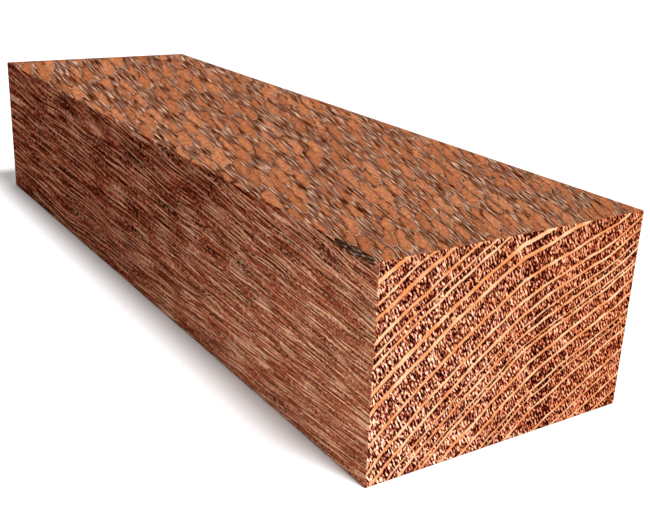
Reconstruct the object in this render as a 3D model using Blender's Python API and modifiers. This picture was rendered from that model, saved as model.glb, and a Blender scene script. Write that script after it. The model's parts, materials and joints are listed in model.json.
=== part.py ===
"""Leopardwood block.

A sawn length of leopardwood, as sold for knife handles: one piece of timber with
square corners, its grain along Y and its flecked quarter-sawn face up. The sawn
edges are barely eased, one long edge has a chip torn out of it near the end, and
small splinters have broken away along the edges. The fleck, the rays and the pores
lie flush in the planed faces, so they are colour and not shape.

The origin is on the underside, below the middle of the block. Units are metres.
"""

import bmesh
import bpy
from mathutils import Matrix, Vector

INCH = 0.0254

# Sawn sizes: 1 x 1 1/2 x 5 inches, 2 : 3 : 10.
HEIGHT = 1.0 * INCH
WIDTH = 1.5 * INCH
LENGTH = 5.0 * INCH

# The saw leaves the corners sharp; handling eases them by this much.
ARRIS = 0.00018
ARRIS_SEGMENTS = 2

# The chip is a row of overlapping scoops along the left top edge. Each entry is
# the distance of a scoop's middle from the near end, then its length along the
# grain, its height on the side and its depth into the wood.
CHIP_SCOOPS = (
    (0.0066, 0.0030, 0.00075, 0.00030),
    (0.0046, 0.0042, 0.00105, 0.00042),
    (0.0021, 0.0030, 0.00090, 0.00034),
)

# Splinters: the edge as (side across X, side along Z), the distance from the
# near end, the length along the grain and the depth.
SPLINTERS = (
    ((-1, 0), 0.0124, 0.0026, 0.00022),
    ((-1, 0), 0.0236, 0.0032, 0.00028),
    ((-1, 0), 0.0320, 0.0022, 0.00022),
    ((-1, 0), 0.0705, 0.0028, 0.00020),
    ((-1, 1), 0.0482, 0.0024, 0.00018),
    ((1, 1), 0.0413, 0.0030, 0.00022),
    ((1, 1), 0.0957, 0.0022, 0.00020),
    ((1, 0), 0.0288, 0.0034, 0.00026),
    ((1, 0), 0.1034, 0.0026, 0.00022),
)

SCOOP_SIDES = 12
SCOOP_RINGS = 8

# Mean colour of the three cut faces, linear.
WOOD_COLOUR = (0.298, 0.114, 0.060, 1.0)
WOOD_ROUGHNESS = 0.55


def clear_scene():
    for obj in list(bpy.data.objects):
        bpy.data.objects.remove(obj, do_unlink=True)


def new_collection(name):
    collection = bpy.data.collections.new(name)
    bpy.context.scene.collection.children.link(collection)
    return collection


def wood_material():
    material = bpy.data.materials.new("leopardwood")
    material.use_nodes = True
    shader = material.node_tree.nodes["Principled BSDF"]
    shader.inputs["Base Color"].default_value = WOOD_COLOUR
    shader.inputs["Roughness"].default_value = WOOD_ROUGHNESS
    shader.inputs["Metallic"].default_value = 0.0
    return material


def add_object(name, bm, collection):
    mesh = bpy.data.meshes.new(name)
    bm.to_mesh(mesh)
    bm.free()
    obj = bpy.data.objects.new(name, mesh)
    collection.objects.link(obj)
    return obj


def sawn_block(collection):
    """The squared timber, standing on its underside."""
    bm = bmesh.new()
    place = Matrix.Translation((0, 0, HEIGHT / 2)) @ Matrix.Diagonal((WIDTH, LENGTH, HEIGHT, 1))
    bmesh.ops.create_cube(bm, size=1.0, matrix=place)
    block = add_object("leopardwood_block", bm, collection)
    block.data.materials.append(wood_material())
    return block


def scoop(name, centre, half_sizes, collection):
    """A long thin ellipsoid that cuts a hollow with feathered ends."""
    bm = bmesh.new()
    place = Matrix.Translation(centre) @ Matrix.Diagonal((*half_sizes, 1))
    # The poles point along the grain, where the hollow runs out.
    along_grain = Matrix(((1, 0, 0, 0), (0, 0, 1, 0), (0, -1, 0, 0), (0, 0, 0, 1)))
    bmesh.ops.create_uvsphere(
        bm, u_segments=SCOOP_SIDES, v_segments=SCOOP_RINGS, radius=1.0, matrix=place @ along_grain
    )
    cutter = add_object(name, bm, collection)
    cutter.hide_render = True
    cutter.display_type = "WIRE"
    return cutter


def edge_point(side, from_near_end):
    """A point on a long edge: side is (left -1 or right 1, bottom 0 or top 1)."""
    return Vector((side[0] * WIDTH / 2, -LENGTH / 2 + from_near_end, side[1] * HEIGHT))


def chip_scoops(collection):
    for index, (from_near_end, length, height, depth) in enumerate(CHIP_SCOOPS):
        centre = edge_point((-1, 1), from_near_end)
        scoop(f"chip_scoop_{index}", centre, (depth, length / 2, height), collection)


def splinter_scoops(collection):
    for index, (side, from_near_end, length, depth) in enumerate(SPLINTERS):
        centre = edge_point(side, from_near_end)
        scoop(f"splinter_scoop_{index}", centre, (depth, length / 2, depth), collection)


def ease_edges(block):
    bevel = block.modifiers.new("eased_edges", "BEVEL")
    bevel.width = ARRIS
    bevel.segments = ARRIS_SEGMENTS
    bevel.limit_method = "ANGLE"


def cut_scoops(block, cutters):
    cut = block.modifiers.new("chip_and_splinters", "BOOLEAN")
    cut.operation = "DIFFERENCE"
    cut.operand_type = "COLLECTION"
    cut.collection = cutters
    cut.solver = "EXACT"


def main():
    clear_scene()
    timber = new_collection("leopardwood")
    cutters = new_collection("scoop_cutters")
    block = sawn_block(timber)
    ease_edges(block)
    chip_scoops(cutters)
    splinter_scoops(cutters)
    cut_scoops(block, cutters)


main()
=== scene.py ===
"""Leopardwood block: a sawn length of timber with its flecked quarter-sawn face up.

The block is one piece of wood. Its faces show different sides of the grain, so each
kind of face has a material of its own: planed quarter-sawn faces (top, underside),
planed flat-sawn faces (left, right), cross-cut end grain (near end, far end), and
the torn wood inside the chip and the splinters.
"""

import json
import math

import bmesh
import bpy
from mathutils import Matrix, Vector, noise

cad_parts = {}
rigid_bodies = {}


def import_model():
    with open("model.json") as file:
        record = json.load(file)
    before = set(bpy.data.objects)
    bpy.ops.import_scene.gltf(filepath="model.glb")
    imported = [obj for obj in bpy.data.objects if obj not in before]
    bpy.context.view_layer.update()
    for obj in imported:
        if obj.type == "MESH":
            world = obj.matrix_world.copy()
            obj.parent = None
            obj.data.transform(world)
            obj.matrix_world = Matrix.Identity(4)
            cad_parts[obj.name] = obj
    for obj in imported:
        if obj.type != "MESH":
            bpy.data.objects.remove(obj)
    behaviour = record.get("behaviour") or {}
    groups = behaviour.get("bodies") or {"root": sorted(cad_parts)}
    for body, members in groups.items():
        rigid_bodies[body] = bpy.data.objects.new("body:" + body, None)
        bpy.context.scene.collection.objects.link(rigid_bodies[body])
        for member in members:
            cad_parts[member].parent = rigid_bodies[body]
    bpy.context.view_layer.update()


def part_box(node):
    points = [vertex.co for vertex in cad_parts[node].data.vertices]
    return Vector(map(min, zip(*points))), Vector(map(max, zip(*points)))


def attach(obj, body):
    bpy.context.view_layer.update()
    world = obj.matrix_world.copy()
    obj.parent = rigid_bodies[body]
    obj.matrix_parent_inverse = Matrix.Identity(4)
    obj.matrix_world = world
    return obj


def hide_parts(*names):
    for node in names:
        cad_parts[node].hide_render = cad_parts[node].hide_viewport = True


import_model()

MM = 0.001
BLOCK = "leopardwood_block"
LOW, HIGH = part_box(BLOCK)
WIDTH, LENGTH, HEIGHT = HIGH - LOW
MIDDLE = (LOW + HIGH) / 2
X_AXIS, Y_AXIS, Z_AXIS = Vector((1, 0, 0)), Vector((0, 1, 0)), Vector((0, 0, 1))

# The saw leaves the corners sharp; handling eases them by this much.
ARRIS = 0.18 * MM
ARRIS_SEGMENTS = 2

# The chip, scoop by scoop along the left top edge: distance of the middle from the
# near end, length along the grain, height on the side and depth into the wood.
CHIP_SCOOPS = (
    (6.6 * MM, 3.0 * MM, 0.75 * MM, 0.30 * MM),
    (4.6 * MM, 4.2 * MM, 1.05 * MM, 0.42 * MM),
    (2.1 * MM, 3.0 * MM, 0.90 * MM, 0.34 * MM),
)

# Splinters: the edge as (side across X, side along Z), the distance from the near
# end, the length along the grain and the depth.
SPLINTERS = (
    ((-1, 0), 12.4 * MM, 2.6 * MM, 0.22 * MM),
    ((-1, 0), 23.6 * MM, 3.2 * MM, 0.28 * MM),
    ((-1, 0), 32.0 * MM, 2.2 * MM, 0.22 * MM),
    ((-1, 0), 70.5 * MM, 2.8 * MM, 0.20 * MM),
    ((-1, 1), 48.2 * MM, 2.4 * MM, 0.18 * MM),
    ((1, 1), 41.3 * MM, 3.0 * MM, 0.22 * MM),
    ((1, 1), 95.7 * MM, 2.2 * MM, 0.20 * MM),
    ((1, 0), 28.8 * MM, 3.4 * MM, 0.26 * MM),
    ((1, 0), 103.4 * MM, 2.6 * MM, 0.22 * MM),
)
SCOOP_SIDES = 24
SCOOP_RINGS = 28

# Mesh spacing across and along the planed faces. The sawn ends are divided once more.
ACROSS_STEP = 0.40 * MM
ALONG_STEP = 1.2 * MM

# The saw tears the soft tissue of the end grain this far below the hard rays, and
# leaves the rim of the end whole.
END_RELIEF = 0.09 * MM
END_RIM = 0.5 * MM

# The tissue reaches its full depth this far from a ray, in millimetres, and the saw
# tears it in spots of this size. A point this close to the end's plane lies in it.
SOFT_FROM_RAY = 0.2
TEAR_SIZE = 0.45 * MM
IN_PLANE = 0.001 * MM

# Depth of the bump and roughness of a planed, a sawn and a torn surface.
PLANED_BUMP, PLANED_ROUGHNESS = 0.03 * MM, 0.6
SAWN_BUMP, SAWN_ROUGHNESS = 0.05 * MM, 0.65
TORN_BUMP, TORN_ROUGHNESS = 0.05 * MM, 0.7

# The figure of the long faces: how many times it grows up to the far end, along and
# across the grain, and the slant of its fibres with the slant's change along the block.
QUARTER_GROWTH, QUARTER_SLANT = (3.4, 2.0), (0.583, -0.00073)
FLAT_GROWTH, FLAT_SLANT = (2.9, 2.3), (0.120, -0.00022)

# Two opposite faces show parts of the figure that lie this far apart, and the sides'
# figure is measured from this far below the top edge. Both are in millimetres.
OTHER_SIDE = 300.0
SIDE_FIGURE_TOP = 6

# Places of the materials on the block.
QUARTER, FLAT, END, TORN = range(4)


def linear(hex_colour):
    """The linear colour of an sRGB hex value."""
    channels = [int(hex_colour[i : i + 2], 16) / 255 for i in (1, 3, 5)]
    return (*[c / 12.92 if c <= 0.04045 else ((c + 0.055) / 1.055) ** 2.4 for c in channels], 1.0)


def add(tree, kind, sockets=None, out=0, stops=(), **settings):
    """Adds a node with its settings, stops and inputs, and returns one of its outputs."""
    node = tree.nodes.new(kind)
    for name, value in settings.items():
        setattr(node, name, value)
    for index, (place, colour) in enumerate(stops):
        elements = node.color_ramp.elements
        element = elements[index] if index < 2 else elements.new(place)
        element.position = place
        element.color = linear(colour)
    for name, value in (sockets or {}).items():
        if isinstance(value, bpy.types.NodeSocket):
            tree.links.new(value, node.inputs[name])
        else:
            node.inputs[name].default_value = value
    return node.outputs[out] if node.outputs else node


def new_material(name):
    material = bpy.data.materials.new(name)
    material.use_nodes = True
    material.node_tree.nodes.clear()
    return material, material.node_tree


def finish_material(tree, colour, roughness, height, depth):
    """Bare dry wood, whose open cells scatter nearly all of the light. It is given no
    gloss, which would grey its dark lines. The height of the grain is its bump."""
    bump = add(tree, "ShaderNodeBump", {"Height": height, "Distance": depth, "Strength": 1.0})
    shader = add(tree, "ShaderNodeBsdfPrincipled",
                 {"Base Color": colour, "Roughness": roughness, "Normal": bump,
                  "IOR": 1.5, "Specular IOR Level": 0.0})
    add(tree, "ShaderNodeOutputMaterial", {"Surface": shader})


def fibres(tree, place, length, breadth, detail=2.0, rough=0.5, shift=0.0, out=0):
    """Streaks along the fibres, so many figure millimetres long and broad."""
    laid = add(tree, "ShaderNodeMapping",
               {"Vector": place, "Location": (shift, shift, 0), "Scale": (length, breadth, 1)},
               vector_type="TEXTURE")
    return add(tree, "ShaderNodeTexNoise",
               {"Vector": laid, "Scale": 1.0, "Detail": detail, "Roughness": rough},
               out=out, noise_dimensions="2D")


def tinted(tree, colour, wander, amount):
    """A colour whose red, green and blue follow those of a noise, up to amount either way."""
    wander = add(tree, "ShaderNodeVectorMath",
                 {0: wander, 1: (2 * amount,) * 3, 2: (1 - amount,) * 3}, operation="MULTIPLY_ADD")
    return add(tree, "ShaderNodeVectorMath", {0: colour, 1: wander}, operation="MULTIPLY")


def blend(tree, share, first, second):
    """The first colour where share is nought, the second where it is one."""
    return add(tree, "ShaderNodeMix", {0: share, 6: first, 7: second}, out=2, data_type="RGBA")


def fibre_place(tree, point, across, other_side, growth, slant):
    """Where a point of a long face lies in its figure, in figure millimetres.

    The figure grows evenly from the near end to the far end, by growth[0] along the
    grain and by growth[1] across it. The fibres cross the face at a slant that starts
    as slant[0] and changes along the block by slant[1].
    """
    share = add(tree, "ShaderNodeSeparateXYZ", {0: point}, out=1)
    share = add(tree, "ShaderNodeMapRange",
                {0: share, 1: LOW.y, 2: HIGH.y, 3: 0.0, 4: 1.0}, clamp=False)
    long_growth = add(tree, "ShaderNodeMath",
                      {0: share, 1: growth[0] - 1, 2: 1.0}, operation="MULTIPLY_ADD")
    broad_growth = add(tree, "ShaderNodeMath",
                       {0: share, 1: growth[1] - 1, 2: 1.0}, operation="MULTIPLY_ADD")
    along = add(tree, "ShaderNodeMath", {0: long_growth, 1: math.e}, operation="LOGARITHM")
    along = add(tree, "ShaderNodeMath",
                {0: along, 1: LENGTH / MM / (growth[0] - 1)}, operation="MULTIPLY")
    across = add(tree, "ShaderNodeMath", {0: across, 1: broad_growth}, operation="DIVIDE")
    lean = add(tree, "ShaderNodeMath",
               {0: along, 1: slant[1], 2: slant[0]}, operation="MULTIPLY_ADD")
    across = add(tree, "ShaderNodeMath", {0: along, 1: lean, 2: across}, operation="MULTIPLY_ADD")
    across = add(tree, "ShaderNodeMath",
                 {0: other_side, 1: OTHER_SIDE, 2: across}, operation="MULTIPLY_ADD")
    return add(tree, "ShaderNodeCombineXYZ", {0: along, 1: across})


# A ray fleck on the quarter-sawn face: how far apart flecks lie along and across the
# fibres, and how far a fleck's short ends lean along them for each millimetre across.
FLECK_LONG = 4.7
FLECK_BROAD = 1.8
FLECK_LEAN = 2.1


def fleck_cells(tree, place):
    """The cells that each hold one fleck, with a waver that keeps their rims uneven."""
    waver = fibres(tree, place, 2.4, 1.1, 2.0, 0.4, shift=50, out=1)
    waver = add(tree, "ShaderNodeVectorMath",
                {0: waver, 1: (1.5, 0.8, 0), 2: (-0.75, -0.4, 0)}, operation="MULTIPLY_ADD")
    bent = add(tree, "ShaderNodeVectorMath", {0: place, 1: waver}, operation="ADD")
    run = add(tree, "ShaderNodeVectorMath", {0: bent, 1: (1 / FLECK_LONG, FLECK_LEAN / FLECK_LONG, 0)},
              out=1, operation="DOT_PRODUCT")
    rise = add(tree, "ShaderNodeVectorMath", {0: bent, 1: (0, 1 / FLECK_BROAD, 0)},
               out=1, operation="DOT_PRODUCT")
    return {"Vector": add(tree, "ShaderNodeCombineXYZ", {0: run, 1: rise}), "Scale": 1.0, "Randomness": 0.8}


def quarter_sawn():
    """Leopardwood cut along its rays and planed. Each ray is cut lengthwise and shows as
    a rounded fleck, orange-tan and mottled. Each fleck is painted paler in its middle and darker towards its
    rim, and is ringed by a broken dark rim of painted shade, which turns into a pale rim of painted
    highlight on its near-end side. Between the flecks the fibres run as fine dark and cream streaks. They
    are 0.1 to 0.2 mm broad and are drawn at 0.16 mm at the near end, and broader as the figure grows."""
    material, tree = new_material("leopardwood_planed_quarter_sawn")
    point = add(tree, "ShaderNodeTexCoord", out=3)
    from_right = add(tree, "ShaderNodeSeparateXYZ", {0: point}, out=0)
    from_right = add(tree, "ShaderNodeMapRange",
                     {0: from_right, 1: HIGH.x, 2: LOW.x, 3: 0.0, 4: WIDTH / MM}, clamp=False)
    below = add(tree, "ShaderNodeSeparateXYZ", {0: point}, out=2)
    below = add(tree, "ShaderNodeMath", {0: below, 1: MIDDLE.z}, operation="LESS_THAN")
    place = fibre_place(tree, point, from_right, below, QUARTER_GROWTH, QUARTER_SLANT)

    cells = fleck_cells(tree, place)
    rim = add(tree, "ShaderNodeTexVoronoi", cells, feature="DISTANCE_TO_EDGE", voronoi_dimensions="2D")
    draw = add(tree, "ShaderNodeTexVoronoi", cells, out=1, feature="F1", voronoi_dimensions="2D")
    centre = add(tree, "ShaderNodeTexVoronoi", cells, out=2, feature="F1", voronoi_dimensions="2D")
    offset = add(tree, "ShaderNodeVectorMath", {0: cells["Vector"], 1: centre}, operation="SUBTRACT")
    chance = add(tree, "ShaderNodeSeparateColor", {0: draw}, out=0)
    reach = add(tree, "ShaderNodeSeparateColor", {0: draw}, out=2)
    reach = add(tree, "ShaderNodeMapRange", {0: reach, 3: 0.44, 4: 0.66})
    half = add(tree, "ShaderNodeMapRange", {0: chance, 1: 0.10, 2: 1.0, 3: 0.15, 4: 0.54})
    lens = add(tree, "ShaderNodeCombineXYZ", {0: reach, 1: half, 2: 1.0})
    lens = add(tree, "ShaderNodeVectorMath", {0: offset, 1: lens}, operation="DIVIDE")
    lens = add(tree, "ShaderNodeVectorMath", {0: lens}, out=1, operation="LENGTH")
    body = add(tree, "ShaderNodeMapRange", {0: lens, 1: 1.06, 2: 0.86}, interpolation_type="SMOOTHSTEP")
    # Where the rim is broken, two flecks run into one.
    broken = fibres(tree, place, 1.6, 1.0, 1.0, shift=170)
    closed = add(tree, "ShaderNodeMapRange", {0: broken, 1: 0.38, 2: 0.46, 3: 0.09, 4: 0.0})
    rim = add(tree, "ShaderNodeMath", {0: rim, 1: closed}, operation="ADD")
    inner = add(tree, "ShaderNodeMapRange", {0: rim, 1: 0.015, 2: 0.10}, interpolation_type="SMOOTHSTEP")
    fleck = add(tree, "ShaderNodeMath", {0: body, 1: inner}, operation="MULTIPLY")
    # A broken dark rim of painted shade rings each fleck, as if its edge stood raised.
    painted_shade_rim = add(tree, "ShaderNodeMath", {0: fleck, 1: 0.45}, operation="SUBTRACT")
    painted_shade_rim = add(tree, "ShaderNodeMath", {0: painted_shade_rim}, operation="ABSOLUTE")
    broken = add(tree, "ShaderNodeMapRange", {0: broken, 1: 0.40, 2: 0.54, 3: 0.15, 4: 0.90})
    painted_shade_rim = add(tree, "ShaderNodeMapRange", {0: painted_shade_rim, 1: 0.45, 2: 0.10, 3: 0.0, 4: 1.0})
    painted_shade_rim = add(tree, "ShaderNodeMath", {0: painted_shade_rim, 1: broken}, operation="MULTIPLY")
    # On the near-end side of each fleck its rim is painted pale instead, as a painted highlight.
    near_end = add(tree, "ShaderNodeSeparateXYZ", {0: offset}, out=0)
    near_end = add(tree, "ShaderNodeMapRange", {0: near_end, 1: -0.22, 2: -0.38})
    painted_highlight_rim = add(tree, "ShaderNodeMath", {0: painted_shade_rim, 1: near_end}, operation="MULTIPLY")

    streak = fibres(tree, place, 2.8, 0.16, 1.0, 0.8)
    ground = add(tree, "ShaderNodeValToRGB", {0: streak}, stops=(
        (0.32, "#300C00"), (0.42, "#56280E"), (0.52, "#70402A"), (0.60, "#90664C"), (0.71, "#CEAC94")))
    patch = fibres(tree, place, 2.4, 1.3, 1.0, shift=90)
    patch = add(tree, "ShaderNodeMapRange", {0: patch, 1: 0.50, 2: 0.64, 3: 0.0, 4: 0.4})
    ground = blend(tree, patch, ground, linear("#78564A"))
    tone = add(tree, "ShaderNodeSeparateColor", {0: draw}, out=1)
    tan = add(tree, "ShaderNodeValToRGB", {0: tone}, stops=(
        (0.0, "#8E5336"), (0.5, "#9A5C3A"), (1.0, "#A76A49")))
    hairs = fibres(tree, place, 0.8, 0.34, 2.0, 0.8, shift=140)
    hairs = add(tree, "ShaderNodeMapRange", {0: hairs, 1: 0.36, 2: 0.64, 3: 0.72, 4: 1.34})
    # Each fleck is painted lighter in its middle and darker towards its rim as painted shade, times its own
    # mottled hairs.
    painted_shade_and_mottle = add(tree, "ShaderNodeMapRange", {0: lens, 1: 0.2, 2: 1.0, 3: 1.08, 4: 0.84})
    painted_shade_and_mottle = add(tree, "ShaderNodeMath", {0: painted_shade_and_mottle, 1: hairs}, operation="MULTIPLY")
    tan = add(tree, "ShaderNodeVectorMath", {0: tan, "Scale": painted_shade_and_mottle}, operation="SCALE")
    colour = blend(tree, fleck, ground, tan)
    colour = blend(tree, painted_shade_rim, colour, linear("#3C1608"))
    colour = blend(tree, painted_highlight_rim, colour, linear("#B48C70"))
    colour = tinted(tree, colour, fibres(tree, place, 0.9, 0.45, 2.0, 0.6, 210, out=1), 0.26)
    finish_material(tree, colour, PLANED_ROUGHNESS, streak, PLANED_BUMP)
    return material


def flat_sawn():
    """Leopardwood cut across its rays and planed: gritty reddish brown, with thin dark
    pore lines and pale ones along the fibres. It is painted lighter towards the lower near corner, as
    painted bounce light from the floor.
    Pores are 0.1 to 0.2 mm broad and are drawn at 0.22 mm, or they wouldn't show."""
    material, tree = new_material("leopardwood_planed_flat_sawn")
    point = add(tree, "ShaderNodeTexCoord", out=3)
    down = add(tree, "ShaderNodeSeparateXYZ", {0: point}, out=2)
    down = add(tree, "ShaderNodeMapRange",
               {0: down, 1: HIGH.z - SIDE_FIGURE_TOP * MM, 2: LOW.z,
                3: 0.0, 4: HEIGHT / MM - SIDE_FIGURE_TOP}, clamp=False)
    right = add(tree, "ShaderNodeSeparateXYZ", {0: point}, out=0)
    right = add(tree, "ShaderNodeMath", {0: right, 1: MIDDLE.x}, operation="GREATER_THAN")
    place = fibre_place(tree, point, down, right, FLAT_GROWTH, FLAT_SLANT)
    waver = fibres(tree, place, 9.0, 4.0, 1.0, shift=30, out=1)
    waver = add(tree, "ShaderNodeVectorMath",
                {0: waver, 1: (0, 0.8, 0), 2: (0, -0.4, 0)}, operation="MULTIPLY_ADD")
    place = add(tree, "ShaderNodeVectorMath", {0: place, 1: waver}, operation="ADD")

    # Fine lines, then the grit that breaks them up, then slow bands.
    lines = fibres(tree, place, 5.0, 0.22, 1.0, 0.7)
    grit = fibres(tree, place, 0.50, 0.26, 1.0, 0.8, shift=60)
    bands = fibres(tree, place, 12.0, 1.2, 1.0, shift=120)
    streak = add(tree, "ShaderNodeMath", {0: grit, 1: 0.70, 2: lines}, operation="MULTIPLY_ADD")
    streak = add(tree, "ShaderNodeMath", {0: bands, 1: 0.10, 2: streak}, operation="MULTIPLY_ADD")
    colour = add(tree, "ShaderNodeMapRange", {0: streak, 1: 0.44, 2: 1.36})
    colour = add(tree, "ShaderNodeValToRGB", {0: colour}, stops=(
        (0.14, "#240500"), (0.34, "#4C180A"), (0.50, "#6E301C"), (0.66, "#8A4A34"), (0.90, "#B4826A")))

    # Pores that run out of the face are thin dark lines, broken by the grit, and between
    # them lie thinner pale lines.
    whole = add(tree, "ShaderNodeMapRange", {0: grit, 1: 0.60, 2: 0.42, 3: 0.3, 4: 1.0})
    pores = fibres(tree, place, 7.0, 0.22, 0.0, shift=180)
    pore = add(tree, "ShaderNodeMapRange", {0: pores, 1: 0.56, 2: 0.66, 3: 0.0, 4: 1.0})
    pore = add(tree, "ShaderNodeMath", {0: pore, 1: whole}, operation="MULTIPLY")
    threads = fibres(tree, place, 4.6, 0.16, 0.0, shift=270)
    thread = add(tree, "ShaderNodeMapRange", {0: threads, 1: 0.60, 2: 0.72, 3: 0.0, 4: 0.6})
    colour = blend(tree, thread, colour, linear("#C0906F"))
    colour = blend(tree, pore, colour, linear("#190300"))
    colour = tinted(tree, colour, fibres(tree, place, 0.8, 0.45, 2.0, 0.7, 240, out=1), 0.30)

    # Painted bounce light from the floor: the wood is painted paler from the middle of its length to the
    # near end, most of all below.
    from_near = add(tree, "ShaderNodeSeparateXYZ", {0: point}, out=1)
    from_near = add(tree, "ShaderNodeMapRange", {0: from_near, 1: HIGH.y, 2: LOW.y}, clamp=False)
    pale = add(tree, "ShaderNodeMath",
               {0: down, 1: 0.3 / (HEIGHT / MM), 2: from_near}, operation="MULTIPLY_ADD")
    pale = add(tree, "ShaderNodeMapRange", {0: pale, 1: 0.55, 2: 1.10}, interpolation_type="SMOOTHSTEP")
    # Below and towards the near end the streaks are painted calmer, as part of the same painted bounce
    # light.
    painted_bounce_calm = add(tree, "ShaderNodeMath", {0: down, 1: 0.18 / (HEIGHT / MM)}, operation="MULTIPLY")
    painted_bounce_calm = add(tree, "ShaderNodeMath", {0: pale, 1: 0.25, 2: painted_bounce_calm}, operation="MULTIPLY_ADD")
    colour = blend(tree, painted_bounce_calm, colour, linear("#683220"))
    # The gain paints the wood paler as painted bounce light, most of all in green and blue.
    gain = add(tree, "ShaderNodeVectorMath",
               {0: pale, 1: (1.3, 2.0, 2.2), 2: (1, 1, 1)}, operation="MULTIPLY_ADD")
    colour = add(tree, "ShaderNodeVectorMath", {0: colour, 1: gain}, operation="MULTIPLY")
    finish_material(tree, colour, PLANED_ROUGHNESS, streak, PLANED_BUMP)
    return material


# The rays cross the end grain from lower left to upper right. All of them bend at one
# line, which meets the top edge this far from the left side and leans like this. On
# each side of it they climb at the first rate, less the second for each mm of height.
BEND_TOP = 19.0
BEND_LEAN = 0.17
CLIMB_LEFT = (0.70, 0.0078)
CLIMB_RIGHT = (0.56, 0.0105)

# Close to the right side they curl upwards, the more so the higher they lie.
CURL_FROM_LEFT = 31.0
CURL_FROM_BELOW = 5.0
CURL = 0.0016

# They waver by this much over this length, in millimetres.
WAVER = 0.25
WAVER_LENGTH = 3.2

# The rays themselves: the height above the underside, in millimetres, at which each
# crosses the line of the bend, and its breadth. Those that start above or below the
# block only cross its corners.
RAYS = (
    (33.15, 0.38), (31.45, 0.22), (30.2, 0.36), (28.35, 0.30), (27.15, 0.18), (26.25, 0.24),
    (24.15, 0.42), (22.5, 0.42), (19.8, 0.32), (17.55, 0.30), (15.95, 0.32), (14.45, 0.15),
    (13.4, 0.28), (11.95, 0.14), (11.35, 0.28), (9.3, 0.35), (7.4, 0.36), (5.3, 0.20),
    (4.5, 0.16), (2.8, 0.28), (-0.25, 0.28), (-2.0, 0.20), (-3.7, 0.28), (-5.8, 0.25),
)
RAY_ATTRIBUTE = "ray_place"

# The strokes between the rays lean to the left, and lie this far apart in millimetres.
STROKE_TURN = math.radians(-27)
BAR_PITCH = 0.42


def ray_place(point):
    """How far past the line of the bend a point of the end grain lies, and at what
    height its ray crosses that line, in millimetres."""
    x, z = (point.x - LOW.x) / MM, (point.z - LOW.z) / MM
    past = x - BEND_TOP - BEND_LEAN * (HEIGHT / MM - z)
    climb, flatten = CLIMB_LEFT if past < 0 else CLIMB_RIGHT
    curl = CURL * max(z - CURL_FROM_BELOW, 0) * max(x - CURL_FROM_LEFT, 0) ** 2
    waver = WAVER * noise.noise(point / (WAVER_LENGTH * MM))
    return past, z - (climb - flatten * z) * past - curl + waver


def stroke_noise(tree, point, breadth, length, detail=1.0, shift=0.0, out=0):
    """Short strokes across the rays of the end grain, so many millimetres in size. They
    lean to the left by the same turn everywhere."""
    laid = add(tree, "ShaderNodeMapping",
               {"Vector": point, "Location": (shift, shift, shift), "Rotation": (0, STROKE_TURN, 0),
                "Scale": (breadth * MM, 5 * MM, length * MM)}, vector_type="TEXTURE")
    return add(tree, "ShaderNodeTexNoise", {"Vector": laid, "Scale": 1.0, "Detail": detail}, out=out)


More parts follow.
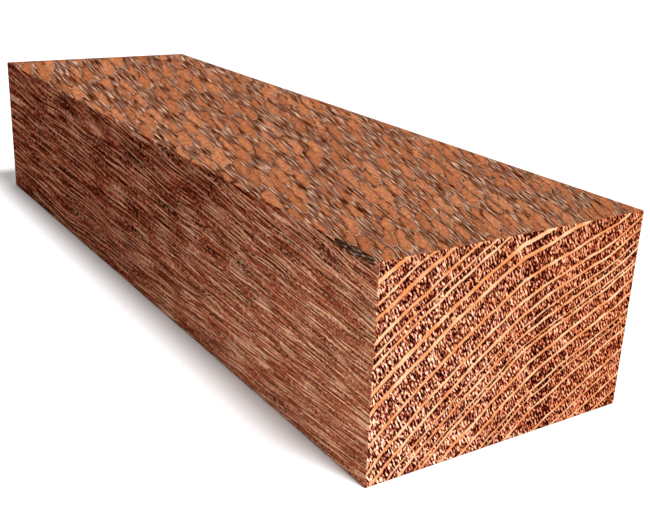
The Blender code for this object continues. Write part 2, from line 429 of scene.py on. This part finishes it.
def end_grain():
    """Leopardwood cut across the grain by a saw and left rough. The rays are cut across
    as hard orange bands with pale cores, and between them pores and soft tissue stand
    as short dark and cream strokes at right angles to the rays."""
    material, tree = new_material("leopardwood_sawn_end_grain")
    point = add(tree, "ShaderNodeTexCoord", out=3)
    place = add(tree, "ShaderNodeAttribute", attribute_name=RAY_ATTRIBUTE, out=1)
    past = add(tree, "ShaderNodeSeparateXYZ", {0: place}, out=0)
    height = add(tree, "ShaderNodeSeparateXYZ", {0: place}, out=1)
    gap = 9.0
    for ray_height, breadth in RAYS:
        off = add(tree, "ShaderNodeMath", {0: height, 1: ray_height}, operation="SUBTRACT")
        off = add(tree, "ShaderNodeMath", {0: off}, operation="ABSOLUTE")
        off = add(tree, "ShaderNodeMath", {0: off, 1: breadth / 2}, operation="SUBTRACT")
        gap = add(tree, "ShaderNodeMath", {0: off, 1: gap}, operation="MINIMUM")
    uneven = stroke_noise(tree, point, 0.5, 0.5, shift=3.0)
    uneven = add(tree, "ShaderNodeMapRange", {0: uneven, 3: -0.14, 4: 0.14})
    gap = add(tree, "ShaderNodeMath", {0: gap, 1: uneven}, operation="ADD")
    rays = add(tree, "ShaderNodeMapRange", {0: gap, 1: 0.10, 2: -0.07}, interpolation_type="SMOOTHSTEP")
    pale = stroke_noise(tree, point, 2.5, 1.6, shift=5.0)
    core = add(tree, "ShaderNodeMapRange", {0: pale, 1: 0.38, 2: 0.64, 3: 0.0, 4: 0.9})

    # Pores are 0.1 mm broad in the wood and are drawn at 0.17 mm, or they wouldn't show.
    fine = stroke_noise(tree, point, 0.17, 0.46)
    clumps = stroke_noise(tree, point, 0.9, 0.9, 2.0, shift=1.0)
    # Bands of soft tissue stand between the rays like the rungs of a ladder, BAR_PITCH
    # apart. A wave has a period of 0.314 over its scale.
    across_bars = add(tree, "ShaderNodeMapping",
                      {"Vector": point, "Rotation": (0, STROKE_TURN, 0), "Scale": (MM, MM, MM)},
                      vector_type="TEXTURE")
    bars = add(tree, "ShaderNodeTexWave",
               {"Vector": across_bars, "Scale": 0.314 / BAR_PITCH, "Distortion": 2.2, "Detail": 2.0,
                "Detail Scale": 1.6}, out=1, wave_type="BANDS", bands_direction="X")
    pore_block = add(tree, "ShaderNodeMapRange", {0: past, 1: 0.4, 2: 1.0}, interpolation_type="SMOOTHSTEP")
    block_end = add(tree, "ShaderNodeMapRange", {0: past, 1: 4.4, 2: 3.0}, interpolation_type="SMOOTHSTEP")
    pore_block = add(tree, "ShaderNodeMath", {0: pore_block, 1: block_end}, operation="MULTIPLY")
    level = add(tree, "ShaderNodeMath", {0: clumps, 1: 0.22, 2: fine}, operation="MULTIPLY_ADD")
    level = add(tree, "ShaderNodeMath", {0: bars, 1: 0.10, 2: level}, operation="MULTIPLY_ADD")
    level = add(tree, "ShaderNodeMath", {0: pore_block, 1: -0.05, 2: level}, operation="MULTIPLY_ADD")
    beside_ray = add(tree, "ShaderNodeMapRange", {0: gap, 1: 0.35, 2: 0.15, 3: 0.19, 4: 0.23})
    level = add(tree, "ShaderNodeMath", {0: level, 1: beside_ray}, operation="SUBTRACT")
    tissue = add(tree, "ShaderNodeValToRGB", {0: level}, stops=(
        (0.35, "#1C0406"), (0.43, "#602014"), (0.50, "#A45234"), (0.57, "#D6885F"), (0.69, "#FACCA8")))
    tissue = tinted(tree, tissue, stroke_noise(tree, point, 0.5, 0.7, 2.0, shift=8.0, out=1), 0.26)

    # The tissue is more orange to the right, and paler and pinker towards the lower left.
    from_left = add(tree, "ShaderNodeSeparateXYZ", {0: point}, out=0)
    from_left = add(tree, "ShaderNodeMapRange", {0: from_left, 1: LOW.x, 2: HIGH.x})
    from_top = add(tree, "ShaderNodeSeparateXYZ", {0: point}, out=2)
    from_top = add(tree, "ShaderNodeMapRange", {0: from_top, 1: HIGH.z, 2: LOW.z})
    corner = add(tree, "ShaderNodeMapRange", {0: from_left, 1: 0.7, 2: 0.0})
    corner = add(tree, "ShaderNodeMath", {0: corner, 1: from_top}, operation="MULTIPLY")
    gain = add(tree, "ShaderNodeVectorMath",
               {0: from_left, 1: (-0.03, -0.32, -0.52), 2: (1.0, 1.12, 1.20)}, operation="MULTIPLY_ADD")
    gain = add(tree, "ShaderNodeVectorMath",
               {0: corner, 1: (0.28, 0.54, 0.80), 2: gain}, operation="MULTIPLY_ADD")
    tissue = add(tree, "ShaderNodeVectorMath", {0: tissue, 1: gain}, operation="MULTIPLY")
    tissue = add(tree, "ShaderNodeVectorMath", {0: tissue, 1: (1, 1, 1)}, operation="MINIMUM")
    ray = blend(tree, core, linear("#DC8C56"), linear("#F6C498"))
    colour = blend(tree, rays, tissue, ray)
    finish_material(tree, colour, SAWN_ROUGHNESS, fine, SAWN_BUMP)
    return material


def torn_wood():
    """Wood torn out along the fibres and never planed: dark brown, with a few pale grey
    spots painted in as glints of light."""
    material, tree = new_material("leopardwood_torn")
    point = add(tree, "ShaderNodeTexCoord", out=3)
    laid = add(tree, "ShaderNodeMapping", {"Vector": point, "Scale": (0.2 * MM, 1.2 * MM, 0.2 * MM)},
               vector_type="TEXTURE")
    shreds = add(tree, "ShaderNodeTexNoise", {"Vector": laid, "Scale": 1.0, "Detail": 3.0})
    # The palest grey stop paints a few glints of light on the torn fibres.
    colour = add(tree, "ShaderNodeValToRGB", {0: shreds}, stops=(
        (0.36, "#241006"), (0.48, "#4A2C1A"), (0.58, "#684A3A"), (0.68, "#9C908A")))
    finish_material(tree, colour, TORN_ROUGHNESS, shreds, TORN_BUMP)
    return material


def edges_along(bm, axis):
    """The long edges that run along an axis; the eased corners' short ones are left out."""
    chosen = []
    for edge in bm.edges:
        span = edge.verts[1].co - edge.verts[0].co
        if span.length > 4 * ARRIS and abs(span.normalized().dot(axis)) > 0.99:
            chosen.append(edge)
    return chosen


def sawn_block():
    """The squared timber with eased edges, divided finely enough for its relief."""
    bm = bmesh.new()
    size = Matrix.Diagonal((WIDTH, LENGTH, HEIGHT, 1))
    bmesh.ops.create_cube(bm, size=1.0, matrix=Matrix.Translation(MIDDLE) @ size)
    for face in bm.faces:
        sideways, endways = abs(face.normal.x) > 0.5, abs(face.normal.y) > 0.5
        face.material_index = END if endways else FLAT if sideways else QUARTER
    bmesh.ops.bevel(bm, geom=list(bm.edges), offset=ARRIS, segments=ARRIS_SEGMENTS, profile=0.5,
                    affect="EDGES", material=-1)
    for axis, step, size in ((X_AXIS, ACROSS_STEP, WIDTH), (Z_AXIS, ACROSS_STEP, HEIGHT),
                             (Y_AXIS, ALONG_STEP, LENGTH)):
        bmesh.ops.subdivide_edges(bm, edges=edges_along(bm, axis), cuts=round(size / step) - 1,
                                  use_grid_fill=True)
    end_edges = [e for e in bm.edges if all(abs(f.normal.y) > 0.999 for f in e.link_faces)]
    bmesh.ops.subdivide_edges(bm, edges=end_edges, cuts=1, use_grid_fill=True)
    return bm


def edge_point(side, from_near_end):
    """A point on a long edge: side is (left -1 or right 1, bottom 0 or top 1)."""
    return Vector((side[0] * WIDTH / 2, LOW.y + from_near_end, LOW.z + side[1] * HEIGHT))


def add_object(name, bm, collection):
    mesh = bpy.data.meshes.new(name)
    bm.to_mesh(mesh)
    bm.free()
    obj = bpy.data.objects.new(name, mesh)
    collection.objects.link(obj)
    return obj


def scoop(name, centre, half_sizes, collection):
    """A long thin ellipsoid, rough along the fibres, that tears out a hollow."""
    bm = bmesh.new()
    along_grain = Matrix.Rotation(-math.pi / 2, 4, "X")
    bmesh.ops.create_uvsphere(bm, u_segments=SCOOP_SIDES, v_segments=SCOOP_RINGS, radius=1.0,
                              matrix=along_grain)
    for vert in bm.verts:
        shred = noise.noise(Vector((vert.co.x * 3, vert.co.y * 0.8, vert.co.z * 3)) + centre / MM)
        vert.co *= 0.9 + 0.18 * shred
    bmesh.ops.transform(bm, matrix=Matrix.Translation(centre) @ Matrix.Diagonal((*half_sizes, 1)),
                        verts=bm.verts)
    for face in bm.faces:
        face.material_index = TORN
    add_object(name, bm, collection)


def all_scoops(collection):
    for index, (from_near_end, length, height, depth) in enumerate(CHIP_SCOOPS):
        centre = edge_point((-1, 1), from_near_end)
        scoop(f"chip_scoop_{index}", centre, (depth, length / 2, height), collection)
    for index, (side, from_near_end, length, depth) in enumerate(SPLINTERS):
        centre = edge_point(side, from_near_end)
        scoop(f"splinter_scoop_{index}", centre, (depth, length / 2, depth), collection)


def saw_relief(mesh):
    """Sinks the soft tissue of both ends between the rays, and keeps every point's place
    among the rays as an attribute, so that the colour of a ray stays on its ridge."""
    places = mesh.attributes.new(RAY_ATTRIBUTE, "FLOAT_VECTOR", "POINT")
    for vert, entry in zip(mesh.vertices, places.data):
        past, height = ray_place(vert.co)
        entry.vector = (past, height, 0)
        if abs(abs(vert.co.y - MIDDLE.y) - LENGTH / 2) > IN_PLANE:
            continue
        from_rim = min(vert.co.x - LOW.x, HIGH.x - vert.co.x, vert.co.z - LOW.z, HIGH.z - vert.co.z)
        whole = min(max((from_rim - ARRIS) / END_RIM, 0), 1)
        gap = min(abs(height - ray_height) - breadth / 2 for ray_height, breadth in RAYS)
        soft = min(max(gap / SOFT_FROM_RAY, 0), 1)
        torn = min(max(0.65 + 0.6 * noise.noise(vert.co / TEAR_SIZE), 0.1), 1)
        vert.co.y -= math.copysign(END_RELIEF * whole * soft * torn, vert.co.y - MIDDLE.y)


# Where each side of the block lies on the map for the baked finish, as shares of the
# map: its lower left corner, its size, and the axes that run across and up the map.
BAKE_PATCHES = {
    (2, 1): ((0.0, 0.0), (0.7, 0.3), (1, 0)),
    (0, -1): ((0.0, 0.3), (0.7, 0.2), (1, 2)),
    (2, -1): ((0.0, 0.5), (0.7, 0.3), (1, 0)),
    (0, 1): ((0.0, 0.8), (0.7, 0.2), (1, 2)),
    (1, -1): ((0.7, 0.0), (0.3, 0.5), (2, 0)),
    (1, 1): ((0.7, 0.5), (0.3, 0.5), (2, 0)),
}
BAKE_GUTTER = 0.004


def lay_out_for_baking(mesh):
    """Projects each face along the axis it faces most, on to its side's patch of the map."""
    layer = mesh.uv_layers.new(name="OFBake")
    for polygon in mesh.polygons:
        axis = max(range(3), key=lambda i: abs(polygon.normal[i]))
        corner, size, map_axes = BAKE_PATCHES[axis, 1 if polygon.normal[axis] > 0 else -1]
        for loop in polygon.loop_indices:
            point = mesh.vertices[mesh.loops[loop].vertex_index].co
            share = [(point[a] - LOW[a]) / (HIGH[a] - LOW[a]) for a in map_axes]
            layer.data[loop].uv = [c + BAKE_GUTTER + s * (w - 2 * BAKE_GUTTER)
                                   for c, s, w in zip(corner, share, size)]


# The cutting leaves slivers; points of theirs that lie closer than this become one.
SLIVER = 0.003 * MM


def close_slivers(mesh):
    """Takes out the slivers along the rims of the scoops, so that every face has width."""
    bm = bmesh.new()
    bm.from_mesh(mesh)
    bmesh.ops.remove_doubles(bm, verts=bm.verts, dist=SLIVER)
    idle = [vert for vert in bm.verts if len(vert.link_edges) == 2]
    bmesh.ops.dissolve_verts(bm, verts=idle)
    many_sided = [face for face in bm.faces if len(face.verts) > 4]
    bmesh.ops.triangulate(bm, faces=many_sided, ngon_method="BEAUTY")
    bmesh.ops.dissolve_degenerate(bm, dist=SLIVER, edges=bm.edges)
    bm.to_mesh(mesh)
    bm.free()


def leopardwood():
    """The dressed block: the timber, its chip and splinters, and the relief of the saw."""
    collection = bpy.context.scene.collection
    cutters = bpy.data.collections.new("scoop_cutters")
    collection.children.link(cutters)
    all_scoops(cutters)
    piece = add_object("leopardwood", sawn_block(), collection)
    for material in (quarter_sawn(), flat_sawn(), end_grain(), torn_wood()):
        piece.data.materials.append(material)
        for cutter in cutters.objects:
            cutter.data.materials.append(material)
    cut = piece.modifiers.new("chip_and_splinters", "BOOLEAN")
    cut.operation = "DIFFERENCE"
    cut.operand_type = "COLLECTION"
    cut.collection = cutters
    cut.solver = "EXACT"
    graph = bpy.context.evaluated_depsgraph_get()
    mesh = bpy.data.meshes.new_from_object(piece.evaluated_get(graph))
    piece.modifiers.clear()
    piece.data = mesh
    for cutter in list(cutters.objects):
        bpy.data.objects.remove(cutter)
    bpy.data.collections.remove(cutters)
    close_slivers(mesh)
    lay_out_for_baking(mesh)
    saw_relief(mesh)
    return piece


# The backdrop reaches this far each way, so that its edge lies close to the horizon.
FLOOR_REACH = 60.0


def floor():
    bm = bmesh.new()
    bmesh.ops.create_grid(bm, x_segments=1, y_segments=1, size=FLOOR_REACH)
    obj = add_object("floor", bm, bpy.context.scene.collection)
    material, tree = new_material("matt_white_backdrop_paper")
    shader = add(tree, "ShaderNodeBsdfPrincipled",
                 {"Base Color": linear("#F4F4F4"), "Roughness": 0.9, "Specular IOR Level": 0.0})
    add(tree, "ShaderNodeOutputMaterial", {"Surface": shader})
    obj.data.materials.append(material)


# A softbox stands high in front and a little to the right. It leaves the left side to
# the light of the room.
LIGHT_TOWARD = Vector((-0.13, 0.52, -1.0))
LIGHT_POWER = 3.5
LIGHT_SPREAD = math.radians(14)
ROOM_LIGHT = 0.52


def lights():
    world = bpy.data.worlds.new("studio")
    bpy.context.scene.world = world
    world.use_nodes = True
    world.node_tree.nodes["Background"].inputs[0].default_value = (1, 1, 1, 1)
    world.node_tree.nodes["Background"].inputs[1].default_value = ROOM_LIGHT
    sun = bpy.data.lights.new("softbox", "SUN")
    sun.energy = LIGHT_POWER
    sun.angle = LIGHT_SPREAD
    lamp = bpy.data.objects.new("softbox", sun)
    lamp.rotation_euler = LIGHT_TOWARD.to_track_quat("-Z", "Y").to_euler()
    bpy.context.scene.collection.objects.link(lamp)


# The camera of the photograph, from the block's seven visible corners.
CAMERA_PLACE = Vector((-70.824, -131.964, 57.082)) * MM
CAMERA_AZIMUTH = math.radians(33.607)
CAMERA_DIP = math.radians(20.022)
CAMERA_ROLL = math.radians(2.423)
CAMERA_LENS = 52.912


def camera():
    data = bpy.data.cameras.new("camera")
    data.lens = CAMERA_LENS
    data.sensor_width = 36.0
    data.sensor_fit = "HORIZONTAL"
    data.clip_start = 0.005
    obj = bpy.data.objects.new("camera", data)
    forward = Vector((math.sin(CAMERA_AZIMUTH) * math.cos(CAMERA_DIP),
                      math.cos(CAMERA_AZIMUTH) * math.cos(CAMERA_DIP), -math.sin(CAMERA_DIP)))
    right = forward.cross(Z_AXIS).normalized()
    turn = Matrix.Rotation(-CAMERA_ROLL, 3, forward)
    right = turn @ right
    up = right.cross(forward)
    obj.matrix_world = Matrix.Translation(CAMERA_PLACE) @ Matrix((right, up, -forward)).transposed().to_4x4()
    bpy.context.scene.collection.objects.link(obj)
    bpy.context.scene.camera = obj


block = leopardwood()
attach(block, "root")
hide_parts(BLOCK)
floor()
lights()
camera()
bpy.context.scene.view_settings.view_transform = "Standard"
